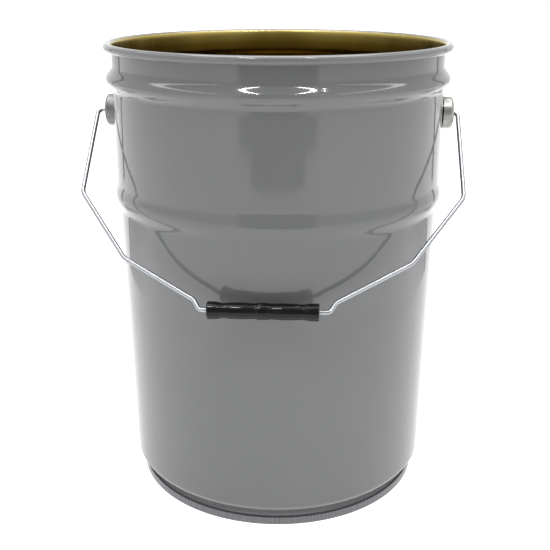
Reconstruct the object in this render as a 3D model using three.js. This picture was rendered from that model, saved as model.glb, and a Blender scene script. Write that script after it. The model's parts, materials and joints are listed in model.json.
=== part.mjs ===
// A tapered steel pail of about 28 litres: a paint can with a wire bail and a plastic grip.
// Millimetres, +Z up. The origin is on the can's axis, in the plane that its base seam stands on.
// The two ears lie on the X axis, and the bail hangs at the front, towards -Y.
import * as THREE from "three";

// Sheet steel
const sheet = 0.4;
const layerGap = 0.2;
const roundSides = 40;

// Rim: the sheet rolled outwards into a hollow curl
const canHeight = 422.6;
const rimRadius = 158;
const curlRadius = 3.7;
const curlSteps = 13;
const curlStep = THREE.MathUtils.degToRad(24);
const curlStart = THREE.MathUtils.degToRad(-138);

// Wall, at its outer face, as [radius, height] from the neck down to the foot
const mouthRadius = rimRadius - 2 * curlRadius;
const neck = [mouthRadius + sheet, 402.5];
const upperBead = [157.1, 391.3];
const upperWallTop = [151.3, 380];
const upperWallFoot = [152.6, 300];
const lowerBead = [154.5, 287];
const lowerWallTop = [150.8, 272.5];
const lowerWallFoot = [146.25, 24.5];
const beadSteps = 6;
const footSteps = 5;

// Base: a pressed end joined to the wall by a double seam, whose five layers lie side by side
const seamRadius = 139.6;
const seamHeight = 7.5;
const seamCorner = 0.6;
const endHookDepth = 5.5;
const bodyHookTop = 5.2;
const layerPitch = sheet + layerGap;
const hookRadius = seamRadius - layerPitch;
const endHookRadius = hookRadius - layerPitch;
const footRadius = endHookRadius - layerPitch;
const chuckRadius = footRadius - layerPitch;
const footHeight = 8.6;
const panelHeight = 7.6;
const panelRingRise = 1.3;
const panelRings = [52, 96];
const panelRingWidth = 7;
const countersinkHeight = 10;
const countersinkInset = 9;
const countersinkTopInset = 5.5;
const chuckCorner = 1.7;

// Sealing compound, in the space above the body hook
const compoundHeight = 1.1;

// Ears: drawn cups welded over the wall, open towards it. The shoulder is given as
// [inset from the cup's side, depth below its face], from the side to the hole.
const earSheet = 1;
const earBack = 152.3;
const earRadius = 14.5;
const earDepth = 10.3;
const earHole = 2.8;
const earShoulder = [
  [0.2, 3.9],
  [0.9, 2.3],
  [2.4, 1.2],
  [7.25, 0.4],
];
const earSides = 24;
const pivotHeight = 358.1;

// Bail: round wire bent in one plane, given as [across, away from the pivot] for one half
const wireRadius = 2;
const wireSides = 10;
const bendSteps = 4;
const restAngle = THREE.MathUtils.degToRad(49.5);
const gripDistance = 212.3;
const hookEnd = [156.4, -8];
const bends = [
  { at: [156.4, 0], radius: 3 },
  { at: [168.4, 0], radius: 5 },
  { at: [168.5, 96.3], radius: 15 },
  { at: [121.9, 164.2], radius: 16 },
  { at: [58.7, 203], radius: 7 },
  { at: [53.4, gripDistance], radius: 5 },
];

// At rest the bail lies a little to one side in its ears, and the grip a little along the wire
const bailShift = -2;
const gripShift = -0.9;

// Grip: a moulded tube, loose on the wire, as [distance from its middle, radius] for one half
const gripBore = 2.4;
const gripSides = 20;
const gripHalf = [
  [0, 7.1],
  [4.2, 7],
  [5.6, 6.5],
  [7.5, 6.5],
  [16, 6.95],
  [26, 6.8],
  [33, 6.2],
  [38.3, 7.25],
  [45.2, 7.4],
  [46, 6.7],
];

const greyPaint = { color: 0x848686, roughness: 0.22, metalness: 0 };
const endPaint = { color: 0x7d7f84, roughness: 0.35, metalness: 0.1 };
const compoundRubber = { color: 0x9a9484, roughness: 0.8, metalness: 0 };
const earSteel = { color: 0xa8a6a0, roughness: 0.3, metalness: 0.9 };
const zincWire = { color: 0xc2c5c8, roughness: 0.28, metalness: 0.9 };
const blackPlastic = { color: 0x141416, roughness: 0.25, metalness: 0 };

const point = ([x, y]) => new THREE.Vector2(x, y);

// Points of an S-curve from one point to another, with upright ends, leaving out the first.
function easeBetween(from, to, steps) {
  const points = [];
  for (let i = 1; i <= steps; i++) {
    const share = i / steps;
    const eased = (1 - Math.cos(Math.PI * share)) / 2;
    const radius = THREE.MathUtils.lerp(from[0], to[0], eased);
    const height = THREE.MathUtils.lerp(from[1], to[1], share);
    points.push(new THREE.Vector2(radius, height));
  }
  return points;
}

// The other face of a sheet whose first face is the given line, offset to the line's left.
function otherFace(line, thickness) {
  return line.map((here, i) => {
    const before = line[Math.max(i - 1, 0)];
    const after = line[Math.min(i + 1, line.length - 1)];
    const arriving = here.clone().sub(i > 0 ? before : after).normalize();
    const leaving = after.clone().sub(i < line.length - 1 ? here : before).normalize();
    if (i === 0) arriving.copy(leaving);
    if (i === line.length - 1) leaving.copy(arriving);
    const along = arriving.clone().add(leaving).normalize();
    const left = new THREE.Vector2(-along.y, along.x);
    const mitre = thickness / arriving.dot(along);
    return here.clone().addScaledVector(left, mitre);
  });
}

// A closed section of bent sheet: the line, then its other face back to the start.
function sheetSection(line, thickness) {
  const section = [...line, ...otherFace(line, thickness).reverse()];
  if (line[0].x > 0) section.push(line[0].clone());
  return section;
}

// A solid of revolution about Z.
function turned(section, sides) {
  return new THREE.LatheGeometry(section, sides).rotateX(Math.PI / 2);
}

// A solid of revolution about X, pointing to +X or, with side -1, to -X.
function turnedAcross(section, sides, side = 1) {
  return new THREE.LatheGeometry(section, sides).rotateZ((-side * Math.PI) / 2);
}

function mesh(name, geometry, finish) {
  const made = new THREE.Mesh(geometry, new THREE.MeshStandardMaterial(finish));
  made.name = name;
  return made;
}

// The rolled rim, at the wall's outer face, from its free end over the top to the neck.
function curlLine() {
  const corner = (curlRadius - sheet) / Math.cos(curlStep / 2);
  const points = [];
  for (let i = 0; i <= curlSteps; i++) {
    const angle = curlStart + i * curlStep;
    const radius = rimRadius - curlRadius + corner * Math.cos(angle);
    const height = canHeight - curlRadius + corner * Math.sin(angle);
    points.push(new THREE.Vector2(radius, height));
  }
  return points;
}

// The body hook: the wall's foot turned outwards and up, inside the seam.
function bodyHookLine() {
  const middle = (footRadius + hookRadius - sheet) / 2;
  const turnHeight = 2 * layerPitch + layerGap;
  return [
    new THREE.Vector2(footRadius, turnHeight + layerGap),
    new THREE.Vector2(middle, turnHeight),
    new THREE.Vector2(hookRadius - sheet, turnHeight + layerGap),
    new THREE.Vector2(hookRadius - sheet, bodyHookTop),
  ];
}

function bodyShell() {
  const line = [
    ...curlLine(),
    point(neck),
    ...easeBetween(neck, upperBead, beadSteps),
    ...easeBetween(upperBead, upperWallTop, beadSteps),
    point(upperWallFoot),
    ...easeBetween(upperWallFoot, lowerBead, beadSteps),
    ...easeBetween(lowerBead, lowerWallTop, beadSteps),
    point(lowerWallFoot),
    ...easeBetween(lowerWallFoot, [footRadius, footHeight], footSteps),
    ...bodyHookLine(),
  ].reverse();
  return mesh("body_shell", turned(sheetSection(line, sheet), roundSides), greyPaint);
}

// The raised ring pressed into the end's panel, from the middle outwards.
function panelRingLine(radius) {
  const top = panelHeight + panelRingRise;
  const slope = panelRingWidth / 4;
  return [
    new THREE.Vector2(radius - panelRingWidth / 2, panelHeight),
    new THREE.Vector2(radius - panelRingWidth / 2 + slope, top),
    new THREE.Vector2(radius + panelRingWidth / 2 - slope, top),
    new THREE.Vector2(radius + panelRingWidth / 2, panelHeight),
  ];
}

function bottomEnd() {
  const inside = chuckRadius - sheet;
  const seamMiddle = (seamRadius + endHookRadius - sheet) / 2;
  const line = [
    new THREE.Vector2(0, panelHeight),
    ...panelRings.flatMap(panelRingLine),
    new THREE.Vector2(inside - countersinkInset, panelHeight),
    new THREE.Vector2(inside - countersinkTopInset, countersinkHeight),
    new THREE.Vector2(inside - chuckCorner, countersinkHeight),
    new THREE.Vector2(inside, countersinkHeight - chuckCorner),
    new THREE.Vector2(inside, seamCorner),
    new THREE.Vector2(inside + seamCorner, 0),
    new THREE.Vector2(seamRadius - seamCorner, 0),
    new THREE.Vector2(seamRadius, seamCorner),
    new THREE.Vector2(seamRadius, seamHeight - seamCorner),
    new THREE.Vector2(seamMiddle, seamHeight),
    new THREE.Vector2(endHookRadius - sheet, seamHeight - seamCorner),
    new THREE.Vector2(endHookRadius - sheet, seamHeight - endHookDepth),
  ];
  return mesh("bottom_end", turned(sheetSection(line, sheet), roundSides), endPaint);
}

function seamCompound() {
  const inner = hookRadius - sheet;
  const bottom = bodyHookTop + layerGap;
  const top = bottom + compoundHeight;
  const section = [
    new THREE.Vector2(inner, bottom),
    new THREE.Vector2(hookRadius, bottom),
    new THREE.Vector2(hookRadius, top),
    new THREE.Vector2(inner, top),
    new THREE.Vector2(inner, bottom),
  ];
  return mesh("seam_compound", turned(section, roundSides), compoundRubber);
}

// A cup with a domed face, and a central hole that the bail's end turns in.
function ear(name, side) {
  const line = [
    new THREE.Vector2(earRadius, 0),
    ...earShoulder.map(([inset, depth]) => new THREE.Vector2(earRadius - inset, earDepth - depth)),
    new THREE.Vector2(earHole, earDepth),
  ];
  const cup = mesh(name, turnedAcross(sheetSection(line, earSheet), earSides, side), earSteel);
  cup.position.set(side * earBack, 0, pivotHeight);
  return cup;
}

// The bail's centreline: straight between its stations, which follow every bend closely.
class WireLine extends THREE.Curve {
  constructor(stations) {
    super();
    this.stations = stations;
  }

  station(share) {
    return this.stations[Math.round(share * (this.stations.length - 1))];
  }

  getPointAt(share) {
    return this.station(share).place.clone();
  }

  getTangentAt(share) {
    return this.station(share).heading.clone();
  }
}

// Places and headings round one bend, where the wire turns from one straight run to the next.
function bendStations(before, { at, radius }, after) {
  const corner = point(at);
  const heading = corner.clone().sub(before).normalize();
  const next = after.clone().sub(corner).normalize();
  const turn = Math.acos(heading.dot(next));
  const inward = next.clone().addScaledVector(heading, -heading.dot(next)).normalize();
  const start = corner.clone().addScaledVector(heading, -radius * Math.tan(turn / 2));
  const stations = [];
  for (let i = 0; i <= bendSteps; i++) {
    const angle = (turn * i) / bendSteps;
    const place = start
      .clone()
      .addScaledVector(heading, radius * Math.sin(angle))
      .addScaledVector(inward, radius * (1 - Math.cos(angle)));
    const tangent = heading
      .clone()
      .multiplyScalar(Math.cos(angle))
      .addScaledVector(inward, Math.sin(angle));
    stations.push({ place, heading: tangent });
  }
  return stations;
}

// One half of the bail, from its end inside the ear to the last bend before the grip.
function halfBail() {
  const corners = [hookEnd, ...bends.map((bend) => bend.at), [0, gripDistance]].map(point);
  const firstHeading = corners[1].clone().sub(corners[0]).normalize();
  const stations = [{ place: corners[0], heading: firstHeading }];
  bends.forEach((bend, i) => {
    stations.push(...bendStations(corners[i], bend, corners[i + 2]));
  });
  return stations;
}

function bailWire() {
  const half = halfBail();
  const right = half.map(({ place, heading }) => ({
    place: new THREE.Vector3(place.x, 0, -place.y),
    heading: new THREE.Vector3(heading.x, 0, -heading.y),
  }));
  const left = half.map(({ place, heading }) => ({
    place: new THREE.Vector3(-place.x, 0, -place.y),
    heading: new THREE.Vector3(heading.x, 0, heading.y),
  }));
  const stations = [...right, ...left.reverse()];
  const section = new THREE.Shape();
  section.absarc(0, 0, wireRadius, 0, 2 * Math.PI);
  const geometry = new THREE.ExtrudeGeometry(section, {
    steps: stations.length - 1,
    curveSegments: wireSides / 2,
    extrudePath: new WireLine(stations),
  });
  return mesh("bail_wire", geometry, zincWire);
}

function bailGrip() {
  const right = gripHalf.map(([along, radius]) => new THREE.Vector2(radius, along));
  const left = gripHalf.slice(1).map(([along, radius]) => new THREE.Vector2(radius, -along));
  const end = gripHalf.at(-1)[0];
  const section = [
    new THREE.Vector2(gripBore, -end),
    ...left.reverse(),
    ...right,
    new THREE.Vector2(gripBore, end),
    new THREE.Vector2(gripBore, -end),
  ];
  const grip = mesh("bail_grip", turnedAcross(section, gripSides), blackPlastic);
  grip.position.set(gripShift, 0, -gripDistance);
  return grip;
}

const can = new THREE.Group();
can.add(bodyShell(), bottomEnd(), seamCompound(), ear("ear_left", -1), ear("ear_right", 1));

// The bail is made hanging straight down, then turned forwards to its rest place.
const bail = new THREE.Group();
bail.add(bailWire(), bailGrip());
bail.position.set(bailShift, 0, pivotHeight);
bail.rotation.x = -restAngle;

const pail = new THREE.Group();
pail.add(can, bail);

export default pail;
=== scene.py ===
"""A tapered steel paint can with a wire bail and a plastic grip: the visible pieces, round the CAD frame.

Metres, +Z up, in the CAD's frame. Section outlines are in millimetres, as on a drawing.
"""

import json
import math

import bpy
from mathutils import Matrix, Vector, noise


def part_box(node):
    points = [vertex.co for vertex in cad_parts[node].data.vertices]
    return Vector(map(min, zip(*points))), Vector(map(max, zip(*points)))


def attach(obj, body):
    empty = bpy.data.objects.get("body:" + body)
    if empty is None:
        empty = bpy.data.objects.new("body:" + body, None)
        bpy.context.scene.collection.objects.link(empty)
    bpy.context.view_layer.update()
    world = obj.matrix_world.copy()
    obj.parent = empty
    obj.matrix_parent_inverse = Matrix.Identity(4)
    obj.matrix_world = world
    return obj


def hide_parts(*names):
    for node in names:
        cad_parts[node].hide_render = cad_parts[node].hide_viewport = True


MM = 0.001

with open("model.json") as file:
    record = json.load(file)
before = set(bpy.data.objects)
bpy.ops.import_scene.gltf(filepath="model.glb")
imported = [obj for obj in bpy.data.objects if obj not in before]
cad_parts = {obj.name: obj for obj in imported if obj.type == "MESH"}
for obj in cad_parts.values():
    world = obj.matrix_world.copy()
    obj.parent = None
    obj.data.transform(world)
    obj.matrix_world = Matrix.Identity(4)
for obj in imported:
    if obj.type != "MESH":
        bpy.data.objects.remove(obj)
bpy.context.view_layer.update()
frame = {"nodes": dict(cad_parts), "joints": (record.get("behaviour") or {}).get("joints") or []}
joints = {joint["name"]: joint for joint in frame["joints"]}

# Places taken from the frame, in millimetres
RIM_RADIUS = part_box("body_shell")[1].x / MM
CAN_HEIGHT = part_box("body_shell")[1].z / MM
SEAM_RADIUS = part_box("bottom_end")[1].x / MM
EAR_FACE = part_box("ear_right")[1].x / MM
EAR_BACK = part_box("ear_right")[0].x / MM
EAR_RADIUS = (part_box("ear_right")[1].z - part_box("ear_right")[0].z) / 2 / MM
GRIP_HALF_LENGTH = (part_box("bail_grip")[1].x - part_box("bail_grip")[0].x) / 2 / MM
PIVOT = Vector(joints["bail_swing"]["pos_m"])
GRIP_PLACE = Vector(joints["grip_spin"]["pos_m"])
BAIL_MIDDLE = (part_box("bail_wire")[0].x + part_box("bail_wire")[1].x) / 2

# Sheet and seam
SHEET = 0.4
LAYER_GAP = 0.2
LAYER_PITCH = SHEET + LAYER_GAP
SEAM_HEIGHT = 7.5
SEAM_CORNER = 0.6
ROUND_STEPS = 240

# Gold lining: how far from the rim's crest its depth is stored, and the depths between which it sets in
LINING_REACH = 25.0
LINING_EDGE = (2.0, 4.2)

# Shell outline, at the wall's outer face: radius, height
CURL_RADIUS = 3.7
CURL_FREE_END = math.radians(-138)
CURL_ROOT = math.radians(174)
NECK = (RIM_RADIUS - 2 * CURL_RADIUS + SHEET, 402.5)
UPPER_BEAD = (157.1, 391.3)
UPPER_WALL_TOP = (151.3, 380)
UPPER_WALL_FOOT = (152.6, 300)
LOWER_BEAD = (154.5, 287)
LOWER_WALL_TOP = (150.8, 272.5)
LOWER_WALL_FOOT = (146.25, 24.5)
FOOT_HEIGHT = 8.6
BODY_HOOK_TOP = 5.2
BODY_HOOK_BEND = 0.49

# Steps along the shell's outline
CURL_STEPS = 52
NECK_STEPS = 6
BEAD_STEPS = 16
SHOULDER_STEPS = 18
UPPER_WALL_STEPS = 10
LOWER_WALL_STEPS = 30
FOOT_STEPS = 14

# The sheet's slight waves, fading out towards the foot
WAVE_DEPTH = 0.07
WAVES_AROUND = 2.4
WAVE_HEIGHT = 90
WAVES_START = 14
WAVES_FULL = 40

# Side weld: a narrow lap that runs up the shell at the back, with close mesh steps across it
WELD_ANGLE = math.radians(60)
WELD_HALF_WIDTH = 2.2
WELD_EDGE = 0.7
WELD_RISE = 0.12
WELD_START = 10
WELD_FULL = 14
WELD_STEP = math.radians(0.15)
WELD_STEPS = 9
WELD_CLEARANCE = math.radians(1.6)

# Pressed end: its panel with raised rings, the countersink round it, and its hook in the seam
END_ROUND_STEPS = 480
PANEL_START = 0.5
PANEL_HEIGHT = 7.6
PANEL_RINGS = [52, 96]
PANEL_RING_WIDTH = 7
PANEL_RING_RISE = 1.3
PANEL_RING_STEPS = 12
PANEL_FLAT_STEPS = 5
PANEL_EDGE_INSET = 9
COUNTERSINK_INSET = 5.5
COUNTERSINK_HEIGHT = 10
END_HOOK_DEPTH = 5.5

# The seaming roll's faint marks on the band at the foot
ROLL_MARK_DEPTH = 0.03
ROLL_MARKS = 34
BAND_EDGE = 0.3
BAND_START = 0.2
BAND_FULL = 1.2

# Ears
EAR_SHEET = 1.0
EAR_HOLE = 2.8
EAR_HOLE_CORNER = 0.25
EAR_SIDE_HEIGHT = 6.4
EAR_SHOULDER_POWER = 0.75
EAR_SHOULDER_STEPS = 40
EAR_STEPS = 72

# Bail: (across, away from the pivot, bend radius) for one half
WIRE_RADIUS = 2.0
WIRE_STEPS = 24
WIRE_CHAMFER = 0.3
BAIL_CORNERS = [
    (156.4, -8, 0),
    (156.4, 0, 3),
    (168.4, 0, 5),
    (168.5, 96.3, 15),
    (121.9, 164.2, 16),
    (58.7, 203, 7),
]
GRIP_ENTRY = 53.4
GRIP_ENTRY_BEND = 5

# Grip: its bore's radius, and (distance from its middle, radius, edge rounding) for one half
GRIP_STEPS = 72
GRIP_BORE = 2.4
GRIP_MOUTH_WIDTH = 0.5
GRIP_MOUTH_DEPTH = 0.6
GRIP_MOUTH_BEND = 0.3
GRIP_HALF = [
    (0, 7.1, 0),
    (4.2, 7.0, 0.9),
    (5.6, 6.5, 0.7),
    (7.5, 6.5, 4),
    (16, 6.95, 25),
    (26, 6.8, 25),
    (33, 6.2, 9),
    (38.3, 7.25, 3),
    (45.2, 7.4, 0.8),
    (GRIP_HALF_LENGTH, 6.7, 0.4),
]

# Finishes, each as the two colours that it varies between
GREY_LACQUER = ((0.117, 0.119, 0.121), (0.123, 0.125, 0.127))
BAND_LACQUER = ((0.125, 0.128, 0.138), (0.142, 0.145, 0.156))
GOLD_NEAR_RIM = ((0.42, 0.33, 0.10), (0.475, 0.375, 0.12))
# The deep gold is painted shade: the lining darkened for the shadow deep inside the can.
GOLD_PAINTED_SHADE = ((0.20, 0.135, 0.023), (0.23, 0.155, 0.028))
# One plating for both ears, in a darker painted-shade copy and a lighter painted-light copy.
PLATING_PAINTED_SHADE = ((0.22, 0.22, 0.225), (0.18, 0.18, 0.182))
PLATING_PAINTED_LIGHT = ((0.34, 0.335, 0.32), (0.28, 0.275, 0.26))
ZINC = ((0.40, 0.41, 0.43), (0.32, 0.33, 0.35))
ZINC_EDGE_TINT = (0.35, 0.36, 0.38, 1)
BLACK_PLASTIC = ((0.003, 0.003, 0.004), (0.006, 0.006, 0.007))
COMPOUND = ((0.29, 0.27, 0.21), (0.36, 0.34, 0.28))

# Camera, in metres, with its lens and sensor in millimetres
CAMERA_AZIMUTH = math.radians(3.3)
CAMERA_DISTANCE = 0.8216
CAMERA_HEIGHT = 0.4840
CAMERA_TILT = math.radians(19.38)
CAMERA_ASIDE = 0.0029
CAMERA_LENS = 57.03
CAMERA_SENSOR = 36

# Studio, in metres, with azimuths from the camera's side in degrees. The dim floor's corners are
# (azimuth, distance), and the lights' places are (azimuth, elevation) from the rim's front.
FLOOR_REACH = 12.0
FRONT_CARD_DISTANCE = 1.62
FRONT_CARD_FOOT = 0.09
DIM_FLOOR_BACK = [(127.5, 0.69), (127.5, 1.1)]
DIM_FLOOR_FRONT = [(92, 1.1), (100, 0.60)]
DARK_LINE_WIDTH = 1.7
FLOOR_SHEET_LIFT = 0.001
LIGHT_DISTANCE = 1.5
STRIP_HIGH = (52, 68)
STRIP_LOW = (20, 58.5)
LAMP_PLACE = (57, 64)
LAMP_HALF_LENGTH = 0.02
TUBE_AZIMUTH = 76
TUBE_DISTANCE = 1.85
TUBE_HEIGHT = 2.2
TUBE_TURN = 14
TUBE_FORWARD = 1.15
TUBE_BACK = 1.9
OVERHEAD_PLACE = Vector((0, 0.35, 2.0))
OVERHEAD_HALF_LENGTH = 0.9


# ---------------------------------------------------------------- outlines

def ease_between(start, end, steps):
    """Points of an S-curve with upright ends, leaving out the first."""
    points = []
    for i in range(1, steps + 1):
        share = i / steps
        eased = (1 - math.cos(math.pi * share)) / 2
        radius = start[0] + (end[0] - start[0]) * eased
        points.append(Vector((radius, start[1] + (end[1] - start[1]) * share)))
    return points


def straight_between(start, end, steps):
    """Evenly spaced points of a straight run, leaving out the first."""
    start, end = Vector(start), Vector(end)
    return [start.lerp(end, i / steps) for i in range(1, steps + 1)]


def rounded_line(corners, arc_step=math.radians(9)):
    """A line through corners given as (x, y, bend radius), with each inner corner bent to its radius."""
    points = [Vector(corners[0][:2])]
    for before, corner, after in zip(corners, corners[1:], corners[2:]):
        here = Vector(corner[:2])
        arriving = (here - Vector(before[:2])).normalized()
        leaving = (Vector(after[:2]) - here).normalized()
        turn = arriving.angle(leaving)
        if corner[2] == 0 or turn < 1e-4:
            points.append(here)
            continue
        inward = (leaving - arriving * arriving.dot(leaving)).normalized()
        start = here - arriving * corner[2] * math.tan(turn / 2)
        steps = max(3, math.ceil(turn / arc_step))
        for i in range(steps + 1):
            angle = turn * i / steps
            forward = arriving * corner[2] * math.sin(angle)
            points.append(start + forward + inward * corner[2] * (1 - math.cos(angle)))
    points.append(Vector(corners[-1][:2]))
    return points


def offset_line(line, distance):
    """The line moved to its right by distance, with mitred corners."""
    moved = []
    for i, here in enumerate(line):
        before = line[max(i - 1, 0)]
        after = line[min(i + 1, len(line) - 1)]
        arriving = (here - before if i > 0 else after - here).normalized()
        leaving = (after - here if i < len(line) - 1 else here - before).normalized()
        along = (arriving + leaving).normalized()
        right = Vector((along.y, -along.x))
        moved.append(here + right * distance / arriving.dot(along))
    return moved


# ---------------------------------------------------------------- mesh makers

def make_object(name, vertices, faces, sharp_angle=math.radians(35)):
    """A smooth mesh object, with creases sharper than sharp_angle left sharp."""
    data = bpy.data.meshes.new(name)
    data.from_pydata(vertices, [], faces)
    data.polygons.foreach_set("use_smooth", [True] * len(data.polygons))
    data.set_sharp_from_angle(angle=sharp_angle)
    data.update()
    made = bpy.data.objects.new(name, data)
    bpy.context.scene.collection.objects.link(made)
    return made


def ring_faces(ring_count, points, closed):
    """Faces between neighbouring rings of the same number of points, round to the first ring if closed."""
    faces = []
    for ring in range(ring_count if closed else ring_count - 1):
        here, beyond = ring * points, (ring + 1) % ring_count * points
        for i in range(points):
            j = (i + 1) % points
            faces.append((here + i, here + j, beyond + j, beyond + i))
    return faces


def revolve(name, section, angles, place):
    """A closed section turned through the angles. place(radius, along, angle) gives each point in metres."""
    vertices = [place(point.x, point.y, angle) for angle in angles for point in section]
    return make_object(name, vertices, ring_faces(len(angles), len(section), True))


def about_z(radius, height, angle):
    return Vector((radius * math.cos(angle), radius * math.sin(angle), height)) * MM


def even_angles(steps):
    return [2 * math.pi * i / steps for i in range(steps)]


def smooth_step(value, low, high):
    share = min(max((value - low) / (high - low), 0), 1)
    return share * share * (3 - 2 * share)


# ---------------------------------------------------------------- shell

def curl_line():
    """The rolled rim along the hollow's face, from its free end over the top to its root."""
    radius = CURL_RADIUS - SHEET
    centre = Vector((RIM_RADIUS - CURL_RADIUS, CAN_HEIGHT - CURL_RADIUS))
    points = []
    for i in range(CURL_STEPS + 1):
        angle = CURL_FREE_END + (CURL_ROOT - CURL_FREE_END) * i / CURL_STEPS
        points.append(centre + Vector((math.cos(angle), math.sin(angle))) * radius)
    return points


def body_hook_line(foot_radius, hook_radius):
    """The wall's foot turned outwards and up, inside the seam."""
    outer = hook_radius - SHEET
    low = 2 * LAYER_PITCH + LAYER_GAP
    bend = (outer - foot_radius) * BODY_HOOK_BEND
    corners = [
        (foot_radius, FOOT_HEIGHT, 0),
        (foot_radius, low, bend),
        (outer, low, bend),
        (outer, BODY_HOOK_TOP, 0),
    ]
    return rounded_line(corners)[1:]


def shell_section():
    """The closed section of the shell, and how many of its points lie on the wall's outer face."""
    hook_radius = SEAM_RADIUS - LAYER_PITCH
    foot_radius = hook_radius - 2 * LAYER_PITCH
    line = curl_line()
    line += straight_between(line[-1], NECK, NECK_STEPS)
    line += ease_between(NECK, UPPER_BEAD, BEAD_STEPS)
    line += ease_between(UPPER_BEAD, UPPER_WALL_TOP, BEAD_STEPS)
    line += straight_between(UPPER_WALL_TOP, UPPER_WALL_FOOT, UPPER_WALL_STEPS)
    line += ease_between(UPPER_WALL_FOOT, LOWER_BEAD, BEAD_STEPS)
    line += ease_between(LOWER_BEAD, LOWER_WALL_TOP, SHOULDER_STEPS)
    line += straight_between(LOWER_WALL_TOP, LOWER_WALL_FOOT, LOWER_WALL_STEPS)
    line += ease_between(LOWER_WALL_FOOT, (foot_radius, FOOT_HEIGHT), FOOT_STEPS)
    line += body_hook_line(foot_radius, hook_radius)
    return line + offset_line(line, SHEET)[::-1], len(line)


def shell_place(radius, height, angle):
    """A point of the shell, with the sheet's slight waves and the lap of the side weld."""
    place = Vector((math.cos(angle) * WAVES_AROUND, math.sin(angle) * WAVES_AROUND, height / WAVE_HEIGHT))
    waves = -WAVE_DEPTH * smooth_step(height, WAVES_START, WAVES_FULL) * (1 + noise.noise(place))
    from_weld = abs(angle - WELD_ANGLE) * radius
    lap = 1 - smooth_step(from_weld, WELD_HALF_WIDTH - WELD_EDGE, WELD_HALF_WIDTH + WELD_EDGE)
    lap *= WELD_RISE * smooth_step(height, WELD_START, WELD_FULL)
    return about_z(radius + waves + lap, height, angle)


def shell_angles():
    """Even steps all round the shell, but close ones across its side weld."""
    close = [WELD_ANGLE + WELD_STEP * i for i in range(-WELD_STEPS, WELD_STEPS + 1)]
    even = [a for a in even_angles(ROUND_STEPS) if abs(a - WELD_ANGLE) > WELD_CLEARANCE]
    return sorted(even + close)


def store_lining(piece, depths, ring_count):
    """Stores how far into the lining each point of the section lies, in millimetres, negative off it."""
    attribute = piece.data.attributes.new("lining", "FLOAT", "POINT")
    attribute.data.foreach_set("value", depths * ring_count)


def mark_lining(piece, section, ring_count, outer_count):
    """Marks the shell's lining by the distance inwards of the rim's crest."""
    crest = max(range(outer_count, len(section)), key=lambda i: section[i].y)
    depths = []
    for i, point in enumerate(section):
        reach = min((point - section[crest]).length, LINING_REACH)
        depths.append(reach if outer_count <= i < crest else -reach)
    store_lining(piece, depths, ring_count)


def build_shell(material):
    section, outer_count = shell_section()
    angles = shell_angles()
    piece = revolve("body_shell_round", section, angles, shell_place)
    mark_lining(piece, section, len(angles), outer_count)
    finish_piece(piece, "can", material, "body_shell")


# ---------------------------------------------------------------- base

def panel_ring(radius):
    """The raised ring pressed into the panel, from the middle outwards, without its first point."""
    start = radius - PANEL_RING_WIDTH / 2
    points = []
    for i in range(1, PANEL_RING_STEPS + 1):
        share = i / PANEL_RING_STEPS
        rise = PANEL_RING_RISE * (1 - math.cos(2 * math.pi * share)) / 2
        points.append(Vector((start + PANEL_RING_WIDTH * share, PANEL_HEIGHT + rise)))
    return points


def end_section():
    """The closed section of the pressed end, and how many of its points lie on its lower face."""
    hook_inside = SEAM_RADIUS - 2 * LAYER_PITCH - SHEET
    chuck = SEAM_RADIUS - 4 * LAYER_PITCH - SHEET
    line = [Vector((PANEL_START, PANEL_HEIGHT))]
    for radius in PANEL_RINGS:
        line += straight_between(line[-1], (radius - PANEL_RING_WIDTH / 2, PANEL_HEIGHT), PANEL_FLAT_STEPS)
        line += panel_ring(radius)
    corners = [
        (*line[-1], 0),
        (chuck - PANEL_EDGE_INSET, PANEL_HEIGHT, 2.5),
        (chuck - COUNTERSINK_INSET, COUNTERSINK_HEIGHT, 2),
        (chuck, COUNTERSINK_HEIGHT, 1.6),
        (chuck, 0, SEAM_CORNER),
        (SEAM_RADIUS, 0, SEAM_CORNER),
        (SEAM_RADIUS, SEAM_HEIGHT, SEAM_CORNER),
        (hook_inside, SEAM_HEIGHT, SEAM_CORNER),
        (hook_inside, SEAM_HEIGHT - END_HOOK_DEPTH, 0),
    ]
    line += rounded_line(corners)[1:]
    return line + offset_line(line, -SHEET)[::-1], len(line)


def end_place(radius, height, angle):
    """A point of the end, with the seaming roll's faint facets on the band."""
    band = smooth_step(radius, SEAM_RADIUS - BAND_EDGE, SEAM_RADIUS)
    band *= smooth_step(height, BAND_START, BAND_FULL)
    marks = 0.5 + 0.5 * noise.noise(Vector((math.cos(angle), math.sin(angle), 0)) * ROLL_MARKS)
    return about_z(radius - ROLL_MARK_DEPTH * band * marks, height, angle)


def build_end(material):
    section, outer_count = end_section()
    angles = even_angles(END_ROUND_STEPS)
    piece = revolve("bottom_end_round", section, angles, end_place)
    inside = SEAM_RADIUS - 4 * LAYER_PITCH
    lined = [i >= outer_count and point.x < inside for i, point in enumerate(section)]
    store_lining(piece, [LINING_REACH if held else -LINING_REACH for held in lined], len(angles))
    finish_piece(piece, "can", material, "bottom_end")


# ---------------------------------------------------------------- ears

def ear_outline():
    """The cup's outer face, from its open back round the domed shoulder to the hole, as (radius, height)."""
    depth = EAR_FACE - EAR_BACK
    line = [Vector((EAR_RADIUS, 0)), Vector((EAR_RADIUS, EAR_SIDE_HEIGHT / 2))]
    for i in range(EAR_SHOULDER_STEPS + 1):
        angle = math.pi / 2 * i / EAR_SHOULDER_STEPS
        radius = EAR_RADIUS * max(math.cos(angle), 0) ** EAR_SHOULDER_POWER
        if radius > EAR_HOLE + EAR_HOLE_CORNER:
            rise = (depth - EAR_SIDE_HEIGHT) * math.sin(angle) ** EAR_SHOULDER_POWER
            line.append(Vector((radius, EAR_SIDE_HEIGHT + rise)))
    return line + [Vector((EAR_HOLE + EAR_HOLE_CORNER, depth)), Vector((EAR_HOLE, depth - EAR_HOLE_CORNER))]


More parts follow.
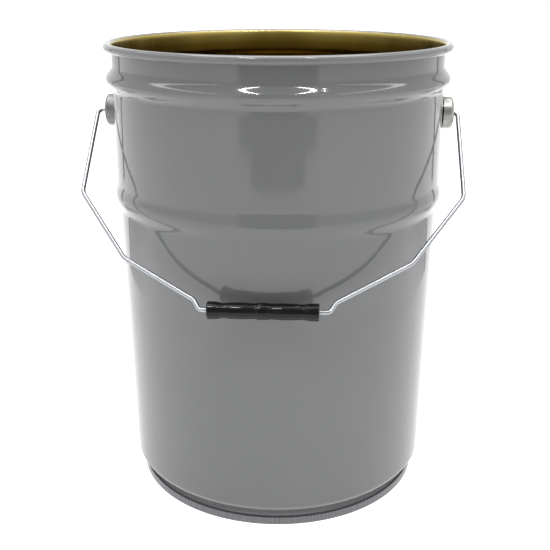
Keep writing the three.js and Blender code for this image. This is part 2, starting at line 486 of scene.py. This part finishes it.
def build_ear(side, material):
    """A drawn cup with a domed face and a central hole, open towards the wall."""
    outer = ear_outline()
    inner = offset_line(outer[:-1], -EAR_SHEET)[::-1]
    section = outer + [Vector((EAR_HOLE, inner[0].y))] + inner

    def place(radius, along, angle):
        across = side * (EAR_BACK + along)
        return Vector((across, radius * math.cos(angle), radius * math.sin(angle))) * MM + PIVOT

    name = "ear_right" if side > 0 else "ear_left"
    angles = even_angles(EAR_STEPS)
    piece = revolve(name + "_cup", section, angles if side > 0 else angles[::-1], place)
    finish_piece(piece, "can", material, name)


# ---------------------------------------------------------------- bail and grip

def bail_reach():
    """The way from the pivot to the wire inside the grip, in the bail's middle plane."""
    return Vector((0, GRIP_PLACE.y - PIVOT.y, GRIP_PLACE.z - PIVOT.z))


def bail_point(across, away, out_of_plane=0.0):
    """A point of the bail's own plane, in metres in the frame, at its rest place."""
    down = bail_reach().normalized()
    sideways = Vector((1, 0, 0))
    outward = down.cross(sideways)
    middle = PIVOT + sideways * BAIL_MIDDLE
    return middle + (sideways * across + down * away + outward * out_of_plane) * MM


def bail_line():
    """The bail's centreline as (across, away), from one end inside an ear to the other."""
    reach = bail_reach().length / MM
    corners = BAIL_CORNERS + [(GRIP_ENTRY, reach, GRIP_ENTRY_BEND), (0, reach, 0)]
    half = rounded_line(corners)
    mirrored = [Vector((-p.x, p.y)) for p in half[:-1]]
    return half + mirrored[::-1]


def wire_rings():
    """(place, heading, radius) of each ring of the wire, with a small chamfer at its cut ends."""
    line = bail_line()
    first, last = (line[1] - line[0]).normalized(), (line[-1] - line[-2]).normalized()
    rings = [(line[0], first, WIRE_RADIUS - WIRE_CHAMFER)]
    rings.append((line[0] + first * WIRE_CHAMFER, first, WIRE_RADIUS))
    for before, here, after in zip(line, line[1:], line[2:]):
        rings.append((here, (after - before).normalized(), WIRE_RADIUS))
    rings.append((line[-1] - last * WIRE_CHAMFER, last, WIRE_RADIUS))
    rings.append((line[-1], last, WIRE_RADIUS - WIRE_CHAMFER))
    return rings


def build_wire(material):
    vertices = []
    rings = wire_rings()
    for here, along, radius in rings:
        across = Vector((-along.y, along.x))
        for angle in even_angles(WIRE_STEPS):
            spot = here + across * radius * math.cos(angle)
            vertices.append(bail_point(spot.x, spot.y, radius * math.sin(angle)))
    faces = ring_faces(len(rings), WIRE_STEPS, False)
    faces.append(tuple(range(WIRE_STEPS))[::-1])
    faces.append(tuple(range((len(rings) - 1) * WIRE_STEPS, len(rings) * WIRE_STEPS)))
    piece = make_object("bail_wire_round", vertices, faces)
    finish_piece(piece, "bail", material, "bail_wire")


def build_grip(material):
    face = [
        (GRIP_HALF_LENGTH, GRIP_BORE + GRIP_MOUTH_WIDTH, GRIP_MOUTH_BEND),
        (GRIP_HALF_LENGTH - GRIP_MOUTH_DEPTH, GRIP_BORE, 0),
    ]
    right = rounded_line(GRIP_HALF + face)
    left = [Vector((-p.x, p.y)) for p in right[1:]]
    section = [Vector((p.y, p.x)) for p in left[::-1] + right]

    def place(radius, along, angle):
        spot = Vector((along, radius * math.cos(angle), radius * math.sin(angle)))
        return spot * MM + GRIP_PLACE

    piece = revolve("bail_grip_moulded", section, even_angles(GRIP_STEPS), place)
    finish_piece(piece, "grip", material, "bail_grip")


def finish_piece(piece, body, material, node):
    """Gives the piece its material and its body, and puts it in the place of the CAD's node."""
    piece.data.materials.append(material)
    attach(piece, body)
    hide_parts(node)


# ---------------------------------------------------------------- materials

# A Mix node has several sockets of each name, so its colour sockets are found by number
MIX_COLOURS_IN = (6, 7)
MIX_COLOUR_OUT = 2


class Finish:
    """A material under construction: a Principled shader and helpers that add nodes to it."""

    def __init__(self, name):
        self.material = bpy.data.materials.new(name)
        self.material.use_nodes = True
        self.nodes = self.material.node_tree.nodes
        self.links = self.material.node_tree.links
        self.shader = self.nodes["Principled BSDF"]

    def feed(self, node, socket, value):
        """Links value to the socket if it is an output, or sets it."""
        if isinstance(value, bpy.types.NodeSocket):
            self.links.new(value, node.inputs[socket])
        else:
            node.inputs[socket].default_value = value

    def put(self, socket, value):
        """Links or sets one of the shader's sockets."""
        self.feed(self.shader, socket, value)

    def node(self, kind, **inputs):
        made = self.nodes.new(kind)
        for socket, value in inputs.items():
            self.feed(made, socket, value)
        return made

    def space(self, scale=(1, 1, 1)):
        """Object coordinates in metres, stretched by scale."""
        place = self.node("ShaderNodeTexCoord").outputs["Object"]
        mapping = self.node("ShaderNodeMapping", Vector=place, Scale=scale)
        return mapping.outputs["Vector"]

    def noise(self, scale, stretch=(1, 1, 1), detail=3.0, roughness=0.5):
        made = self.node("ShaderNodeTexNoise", Vector=self.space(stretch), Scale=scale, Detail=detail)
        self.feed(made, "Roughness", roughness)
        return made.outputs["Fac"]

    def spread(self, value, low, high, to_low=0.0, to_high=1.0):
        """value from low..high to to_low..to_high, clamped, along a smooth step."""
        made = self.node("ShaderNodeMapRange", Value=value)
        made.interpolation_type = "SMOOTHSTEP"
        self.feed(made, "From Min", low)
        self.feed(made, "From Max", high)
        self.feed(made, "To Min", to_low)
        self.feed(made, "To Max", to_high)
        return made.outputs["Result"]

    def maths(self, operation, first, second=0.0):
        """The result of an operation on one or two numbers."""
        made = self.nodes.new("ShaderNodeMath")
        made.operation = operation
        self.feed(made, 0, first)
        self.feed(made, 1, second)
        return made.outputs["Value"]

    def blend(self, share, first, second):
        """Colour first where share is 0 and second where it is 1."""
        made = self.nodes.new("ShaderNodeMix")
        made.data_type = "RGBA"
        self.feed(made, "Factor", share)
        for socket, value in zip(MIX_COLOURS_IN, (first, second)):
            self.feed(made, socket, (*value, 1) if isinstance(value, tuple) else value)
        return made.outputs[MIX_COLOUR_OUT]

    def vary(self, pattern, colours, low=0.3, high=0.7):
        """A colour that goes from the first of two to the second as the pattern goes from low to high."""
        return self.blend(self.spread(pattern, low, high), *colours)

    def stored(self, name):
        """A value stored on the mesh."""
        made = self.node("ShaderNodeAttribute")
        made.attribute_name = name
        return made.outputs["Fac"]

    def bump(self, height, distance, strength):
        """Roughens the surface by the height pattern, whose full rise is distance metres."""
        made = self.node("ShaderNodeBump", Height=height, Distance=distance, Strength=strength)
        self.put("Normal", made.outputs["Normal"])


def shell_finish():
    """Gloss grey lacquer outside, and gold lacquer over the steel inside, darkened lower down by painted
    shade.
    """
    finish = Finish("shell_lacquers")
    depth = finish.stored("lining")
    wander = finish.spread(finish.noise(120), 0.3, 0.7, -0.12, 0.12)
    lined = finish.spread(finish.maths("ADD", depth, wander), *LINING_EDGE)

    grey = finish.vary(finish.noise(9, detail=2), GREY_LACQUER)
    mottle = finish.noise(30, stretch=(1, 1, 0.5), detail=5)
    # The gold deepens with the depth below the rim: painted shade for the shadow inside the can.
    gold = finish.blend(finish.spread(depth, 4, 17), finish.vary(mottle, GOLD_NEAR_RIM), GOLD_PAINTED_SHADE[0])
    finish.put("Base Color", finish.blend(lined, grey, gold))
    finish.put("Metallic", lined)

    smear = finish.noise(45, stretch=(1, 1, 0.4), detail=6, roughness=0.6)
    gloss = finish.spread(smear, 0.35, 0.75, 0.065, 0.10)
    satin = finish.spread(mottle, 0.3, 0.7, 0.26, 0.34)
    finish.put("Roughness", finish.blend(lined, gloss, satin))
    finish.bump(finish.noise(420, detail=2), 0.00001, 0.25)
    return finish.material


def end_finish():
    """Grey lacquer with the seaming roll's upright marks under the end, and gold lacquer inside, darkened as
    painted shade.
    """
    finish = Finish("end_lacquers")
    marks = finish.noise(900, stretch=(1, 1, 0.04))
    lined = finish.spread(finish.stored("lining"), *LINING_EDGE)
    # The end's lining takes the deep gold: painted shade for the bottom of the can.
    gold = finish.vary(finish.noise(30, detail=5), GOLD_PAINTED_SHADE)
    finish.put("Base Color", finish.blend(lined, finish.vary(marks, BAND_LACQUER), gold))
    finish.put("Metallic", lined)
    finish.put("Roughness", finish.spread(marks, 0.3, 0.7, 0.22, 0.36))
    finish.bump(marks, 0.00001, 0.25)
    return finish.material


def ear_finish(name, colours, smooth, rough):
    """Plated steel with the fine lines of the draw. smooth and rough are its least and greatest roughness."""
    finish = Finish(name)
    finish.put("Metallic", 1.0)
    stains = finish.noise(160, detail=5)
    finish.put("Base Color", finish.vary(stains, colours, low=0.35))
    finish.put("Roughness", finish.spread(stains, 0.3, 0.7, smooth, rough))
    finish.bump(finish.noise(1400, stretch=(0.08, 1, 1)), 0.00003, 0.4)
    return finish.material


def wire_finish():
    """Zinc over drawn wire, with dull edges."""
    finish = Finish("wire_zinc")
    finish.put("Metallic", 1.0)
    finish.put("Specular Tint", ZINC_EDGE_TINT)
    spangle = finish.noise(700, detail=4)
    finish.put("Base Color", finish.vary(spangle, ZINC))
    finish.put("Roughness", finish.spread(spangle, 0.3, 0.7, 0.26, 0.34))
    finish.bump(spangle, 0.00003, 0.3)
    return finish.material


def grip_finish():
    """Black moulded plastic, glossy, with faint handling marks."""
    finish = Finish("grip_black_plastic")
    finish.put("Specular IOR Level", 0.24)
    handling = finish.noise(180, stretch=(0.4, 1, 1), detail=6)
    finish.put("Base Color", finish.vary(handling, BLACK_PLASTIC, 0.4, 0.8))
    finish.put("Roughness", finish.spread(handling, 0.35, 0.75, 0.06, 0.12))
    finish.bump(handling, 0.00004, 0.25)
    return finish.material


def compound_finish():
    """Dried sealing compound, dull and grainy."""
    finish = Finish("sealing_compound")
    finish.put("Roughness", 0.8)
    grain = finish.noise(500, detail=5)
    finish.put("Base Color", finish.vary(grain, COMPOUND))
    finish.bump(grain, 0.0001, 0.5)
    return finish.material


# ---------------------------------------------------------------- studio

def studio_finish(name, grey, glow=0.0):
    """A dull grey surface that may give off white light."""
    finish = Finish(name)
    finish.put("Base Color", (grey, grey, grey, 1))
    finish.put("Roughness", 0.9)
    finish.put("Specular IOR Level", 0.0)
    finish.put("Emission Color", (1, 1, 1, 1))
    finish.put("Emission Strength", glow)
    return finish


def fade_out(finish, axis, middle, solid, clear):
    """Fades a sheet out with the distance from a middle, all as shares of its width along one axis."""
    place = finish.node("ShaderNodeTexCoord").outputs["Generated"]
    along = finish.node("ShaderNodeSeparateXYZ", Vector=place).outputs[axis]
    distance = finish.maths("ABSOLUTE", finish.maths("SUBTRACT", along, middle))
    finish.put("Alpha", finish.spread(distance, solid, clear, 1.0, 0.0))


def stage_sheet(name, corners, finish, seen=False):
    """A flat four-cornered sheet of the studio. The camera sees it only in reflections unless seen is set."""
    sheet = make_object(name, corners, [(0, 1, 2, 3)])
    sheet.data.materials.append(finish.material)
    sheet.visible_camera = seen


def way_to(azimuth, elevation=0):
    """The unit vector at an azimuth from the camera's side, + to the right, and an elevation, in degrees."""
    a, e = math.radians(azimuth) + CAMERA_AZIMUTH, math.radians(elevation)
    return Vector((math.sin(a) * math.cos(e), -math.cos(a) * math.cos(e), math.sin(e)))


def add_floor():
    corners = [(x * FLOOR_REACH, y * FLOOR_REACH, 0) for x, y in ((-1, -1), (1, -1), (1, 1), (-1, 1))]
    stage_sheet("studio_floor", corners, studio_finish("studio_floor_white", grey=0.5, glow=0.95), seen=True)


def add_floor_sheet(name, side, places, height, finish):
    """A sheet just over the floor, with corners given as (azimuth, distance)."""
    lift = Vector((0, 0, height))
    stage_sheet(name, [way_to(side * azimuth) * distance + lift for azimuth, distance in places], finish)


def add_dim_floor(name, side):
    """The darker ground at one side: a sheet that fades out to the front, with a dark line at its back."""
    dim = studio_finish(name, grey=0.3, glow=0.42)
    fade_out(dim, "Y", middle=1.0, solid=0.25, clear=0.95)
    add_floor_sheet(name, side, DIM_FLOOR_BACK + DIM_FLOOR_FRONT, FLOOR_SHEET_LIFT, dim)
    dark = studio_finish(name + "_line", grey=0.1, glow=0.1)
    line_front = [(azimuth - DARK_LINE_WIDTH, distance) for azimuth, distance in reversed(DIM_FLOOR_BACK)]
    add_floor_sheet(name + "_line", side, DIM_FLOOR_BACK + line_front, 2 * FLOOR_SHEET_LIFT, dark)


def add_card(name, azimuth, half_angle, distance, low, high, grey, glow=0.0, soft=0.0):
    """An upright card facing the can. soft is the share of its width that fades out at each side."""
    middle = way_to(azimuth) * distance
    across = middle.cross(Vector((0, 0, 1))).normalized() * distance * math.tan(math.radians(half_angle))
    left, right = middle - across, middle + across
    corners = [Vector((*foot[:2], z)) for foot, z in ((left, low), (right, low), (right, high), (left, high))]
    finish = studio_finish(name, grey, glow)
    if soft:
        fade_out(finish, "X", 0.5, 0.5 - soft, 0.5)
    stage_sheet(name, corners, finish)


def add_light(name, start, end, width, radiance, aim):
    """A rectangular area light whose long axis runs between two places, turned to face the aim."""
    middle = (start + end) / 2
    along = (end - start).normalized()
    facing = (middle - aim).normalized()
    across = facing.cross(along).normalized()
    data = bpy.data.lights.new(name, "AREA")
    data.shape = "RECTANGLE"
    data.size, data.size_y = (end - start).length, width
    data.energy = radiance * math.pi * data.size * data.size_y
    lamp = bpy.data.objects.new(name, data)
    lamp.rotation_mode = "QUATERNION"
    lamp.rotation_quaternion = Matrix((along, across, along.cross(across))).transposed().to_quaternion()
    lamp.location = middle
    lamp.visible_camera = False
    bpy.context.scene.collection.objects.link(lamp)


def add_side_lights(name, side, aim):
    """A slim bright strip high in front, and a long tube that runs past the can."""
    high, low = [
        aim + way_to(side * azimuth, elevation) * LIGHT_DISTANCE
        for azimuth, elevation in (STRIP_HIGH, STRIP_LOW)
    ]
    add_light("strip_" + name, high, low, width=0.03, radiance=120, aim=aim)
    nearest = way_to(side * TUBE_AZIMUTH) * TUBE_DISTANCE + Vector((0, 0, TUBE_HEIGHT))
    forward = way_to(side * -TUBE_TURN)
    front, back = nearest + forward * TUBE_FORWARD, nearest - forward * TUBE_BACK
    add_light("tube_" + name, front, back, width=0.14, radiance=4.5, aim=aim)


def add_lights():
    """The lights at each side, a large soft light overhead and a small lamp."""
    rim_front = way_to(0) * RIM_RADIUS * MM + Vector((0, 0, CAN_HEIGHT * MM))
    add_side_lights("left", -1, rim_front)
    add_side_lights("right", 1, rim_front)
    half = Vector((OVERHEAD_HALF_LENGTH, 0, 0))
    below = Vector((0, OVERHEAD_PLACE.y, 0))
    add_light("overhead", OVERHEAD_PLACE - half, OVERHEAD_PLACE + half, width=1.3, radiance=5.0, aim=below)
    lamp = rim_front + way_to(*LAMP_PLACE) * LIGHT_DISTANCE
    half = Vector((LAMP_HALF_LENGTH, 0, 0))
    add_light("small_lamp", lamp - half, lamp + half, width=0.035, radiance=80, aim=rim_front)


def add_cards():
    """A dim card in front, narrower at its foot, a backdrop, and a dark edge and dim ground at each side."""
    front = {"azimuth": 0, "distance": FRONT_CARD_DISTANCE, "grey": 0.25, "soft": 0.1}
    add_card("studio_dim_front", half_angle=27, low=FRONT_CARD_FOOT, high=2.4, **front)
    add_card("studio_dim_front_foot", half_angle=18.5, low=0.0, high=FRONT_CARD_FOOT, **front)
    backdrop = {"azimuth": 180, "half_angle": 48, "distance": 2.0, "grey": 0.5, "glow": 0.35}
    add_card("studio_backdrop", low=0.0, high=2.6, **backdrop)
    dark_edge = {"half_angle": 1.2, "distance": 1.45, "grey": 0.05}
    for side, name in ((-1, "left"), (1, "right")):
        add_card("studio_dark_edge_" + name, azimuth=side * 130, low=0.0, high=2.0, **dark_edge)
        add_dim_floor("studio_dim_floor_" + name, side)


def add_studio():
    world = bpy.data.worlds.new("studio_world")
    bpy.context.scene.world = world
    world.use_nodes = True
    background = world.node_tree.nodes["Background"]
    background.inputs["Color"].default_value = (1, 1, 1, 1)
    background.inputs["Strength"].default_value = 1.0
    bpy.context.scene.view_settings.view_transform = "Standard"
    add_floor()
    add_cards()
    add_lights()


def add_camera():
    """The camera in front and a little to the right, looking slightly down at the can."""
    data = bpy.data.cameras.new("camera")
    data.lens = CAMERA_LENS
    data.sensor_width = CAMERA_SENSOR
    camera = bpy.data.objects.new("camera", data)
    camera.location = way_to(0) * CAMERA_DISTANCE + Vector((0, 0, CAMERA_HEIGHT))
    aim_height = CAMERA_HEIGHT - CAMERA_DISTANCE * math.tan(CAMERA_TILT)
    aim = way_to(-90) * CAMERA_ASIDE + Vector((0, 0, aim_height))
    camera.rotation_mode = "QUATERNION"
    camera.rotation_quaternion = (aim - camera.location).to_track_quat("-Z", "Y")
    bpy.context.scene.collection.objects.link(camera)
    bpy.context.scene.camera = camera


# ---------------------------------------------------------------- the object

add_camera()
add_studio()
build_shell(shell_finish())
build_end(end_finish())
# The same plating on both ears: a darker painted-shade copy on the left and a lighter painted-light copy on
# the right.
build_ear(-1, ear_finish("ear_plating_painted_shade", PLATING_PAINTED_SHADE, 0.42, 0.55))
build_ear(1, ear_finish("ear_plating_painted_light", PLATING_PAINTED_LIGHT, 0.34, 0.46))
build_wire(wire_finish())
build_grip(grip_finish())
compound = frame["nodes"]["seam_compound"]
compound.data.materials.clear()
compound.data.materials.append(compound_finish())
